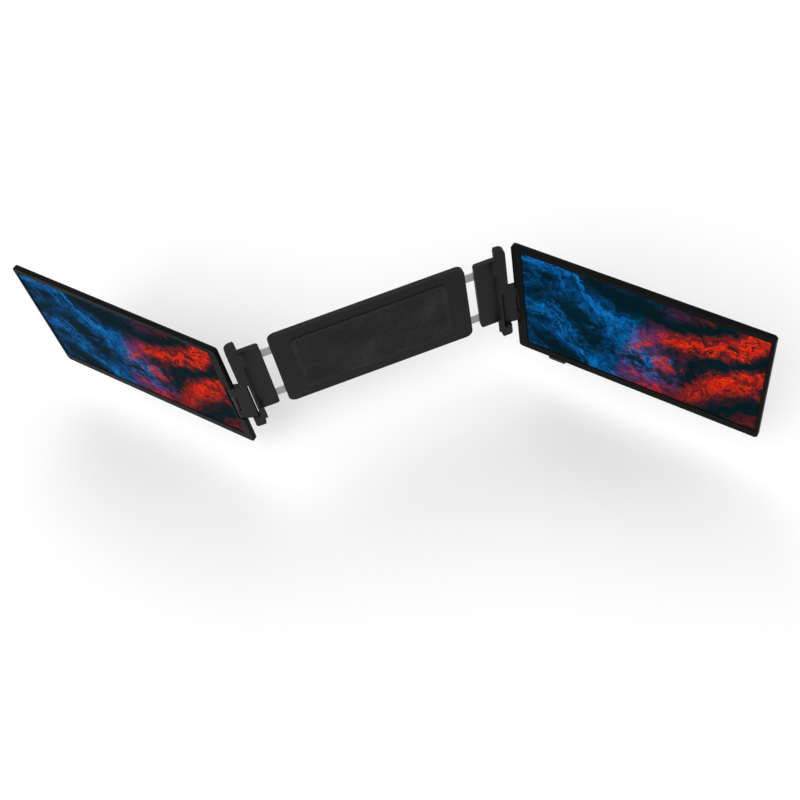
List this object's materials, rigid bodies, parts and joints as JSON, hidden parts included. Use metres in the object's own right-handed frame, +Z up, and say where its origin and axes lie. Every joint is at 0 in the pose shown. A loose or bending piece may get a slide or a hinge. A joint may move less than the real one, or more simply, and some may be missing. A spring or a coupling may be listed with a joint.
{
  "type": "laptop screen extender",
  "caption": "Sliding frame that clips on the back of a laptop lid and carries a hinged screen wing on each side, with a fold-out kickstand.",
  "frame": {"origin": "middle of the soft pad that the back of the laptop's lid rests on", "axes": "-Y out of the pad towards the viewer, +X to the viewer's right along the frame, +Z up"},
  "size_m": [0.7914, 0.5065, 0.1998],
  "materials": {
    "shell_black": "fine-grained matte black",
    "bezel_black": "fine-grained matte black",
    "arm_black": "fine-grained matte black",
    "stand_metal": "black powder coat",
    "rubber_black": "soft matte",
    "steel": "drawn and deburred",
    "dark_steel": "black oxide",
    "nylon": "moulded natural nylon",
    "screen": "anti-glare film over a lit picture",
    "light_guide": "frosted",
    "circuit_board": "solder mask",
    "ribbon": "amber film",
    "key_black": "satin",
    "port_metal": "stamped nickel plate"
  },
  "bodies": {
    "centre": {"centre_front_cover": "shell_black", "centre_back_cover": "shell_black", "centre_lid_pad": "rubber_black", "centre_rail_guides": "nylon", "centre_screws": "steel", "stand_pins": "steel"},
    "stand": {"stand_plate": "stand_metal", "stand_bushes": "nylon", "stand_foot": "rubber_black"},
    "left_arm": {"left_arm_body": "arm_black", "left_arm_cover": "arm_black", "left_arm_rails": "steel", "left_arm_lid_liners": "rubber_black", "left_arm_screws": "steel", "left_frame_pin": "steel"},
    "left_block": {"left_block_front": "arm_black", "left_block_back": "arm_black", "left_block_sleeves": "steel", "left_block_screws": "steel"},
    "left_wing": {"left_bezel": "bezel_black", "left_back_cover": "shell_black", "left_display_panel": "screen", "left_backlight": "light_guide", "left_driver_board": "circuit_board", "left_panel_flex": "ribbon", "left_button_board": "circuit_board", "left_hinge_bracket": "dark_steel", "left_bracket_screws": "steel", "left_screen_pin": "steel", "left_usb_ports": "port_metal", "left_hdmi_port": "port_metal", "left_bumpers": "rubber_black"},
    "right_arm": {"right_arm_body": "arm_black", "right_arm_cover": "arm_black", "right_arm_rails": "steel", "right_arm_lid_liners": "rubber_black", "right_arm_screws": "steel", "right_frame_pin": "steel"},
    "right_block": {"right_block_front": "arm_black", "right_block_back": "arm_black", "right_block_sleeves": "steel", "right_block_screws": "steel"},
    "right_wing": {"right_bezel": "bezel_black", "right_back_cover": "shell_black", "right_display_panel": "screen", "right_backlight": "light_guide", "right_driver_board": "circuit_board", "right_panel_flex": "ribbon", "right_button_board": "circuit_board", "right_hinge_bracket": "dark_steel", "right_bracket_screws": "steel", "right_screen_pin": "steel", "right_usb_ports": "port_metal", "right_hdmi_port": "port_metal", "right_rocker_pin": "steel"},
    "left_power_button": {"left_power_key": "key_black"},
    "left_plus_button": {"left_plus_key": "key_black"},
    "left_minus_button": {"left_minus_key": "key_black"},
    "right_power_button": {"right_power_key": "key_black"},
    "right_rocker": {"right_rocker_key": "key_black"}
  },
  "joints": [
    {"name": "stand_hinge", "type": "hinge", "parent": "centre", "child": "stand", "pos_m": [0, 0.0084, -0.0694], "axis": [1, 0, 0], "range_deg": [-150, 0]},
    {"name": "left_arm_slide", "type": "slide", "parent": "centre", "child": "left_arm", "axis": [-1, 0, 0], "range_m": [-0.0045, 0.033]},
    {"name": "left_frame_hinge", "type": "hinge", "parent": "left_arm", "child": "left_block", "pos_m": [-0.1706, -0.0034, -0.0295], "axis": [0, 0, -1], "range_deg": [-107.4, 72.6]},
    {"name": "left_screen_hinge", "type": "hinge", "parent": "left_block", "child": "left_wing", "pos_m": [-0.18835, 0.00216, -0.0295], "axis": [0, 0, -1], "range_deg": [-122.2, 57.8]},
    {"name": "left_power_press", "type": "slide", "parent": "left_wing", "child": "left_power_button", "axis": [-0.7615, -0.6481, 0], "range_m": [0, 0.0005], "stiffness_N_per_m": 1500},
    {"name": "left_plus_press", "type": "slide", "parent": "left_wing", "child": "left_plus_button", "axis": [-0.7615, -0.6481, 0], "range_m": [0, 0.0005], "stiffness_N_per_m": 1500},
    {"name": "left_minus_press", "type": "slide", "parent": "left_wing", "child": "left_minus_button", "axis": [-0.7615, -0.6481, 0], "range_m": [0, 0.0005], "stiffness_N_per_m": 1500},
    {"name": "right_arm_slide", "type": "slide", "parent": "centre", "child": "right_arm", "axis": [1, 0, 0], "range_m": [-0.0045, 0.033]},
    {"name": "right_frame_hinge", "type": "hinge", "parent": "right_arm", "child": "right_block", "pos_m": [0.1712, 0.0012, -0.0295], "axis": [0, 0, 1], "range_deg": [-83.3, 96.7]},
    {"name": "right_screen_hinge", "type": "hinge", "parent": "right_block", "child": "right_wing", "pos_m": [0.18967, -0.00097, -0.0295], "axis": [0, 0, 1], "range_deg": [-45.5, 134.5]},
    {"name": "right_power_press", "type": "slide", "parent": "right_wing", "child": "right_power_button", "axis": [-0.7793, -0.6266, 0], "range_m": [0, 0.0005], "stiffness_N_per_m": 1500},
    {"name": "right_rocker_tilt", "type": "hinge", "parent": "right_wing", "child": "right_rocker", "pos_m": [0.2211, -0.04564, -0.1115], "axis": [0.7793, 0.6266, 0], "range_deg": [-2.5, 2.5], "stiffness_Nm_per_rad": 0.4}
  ]
}
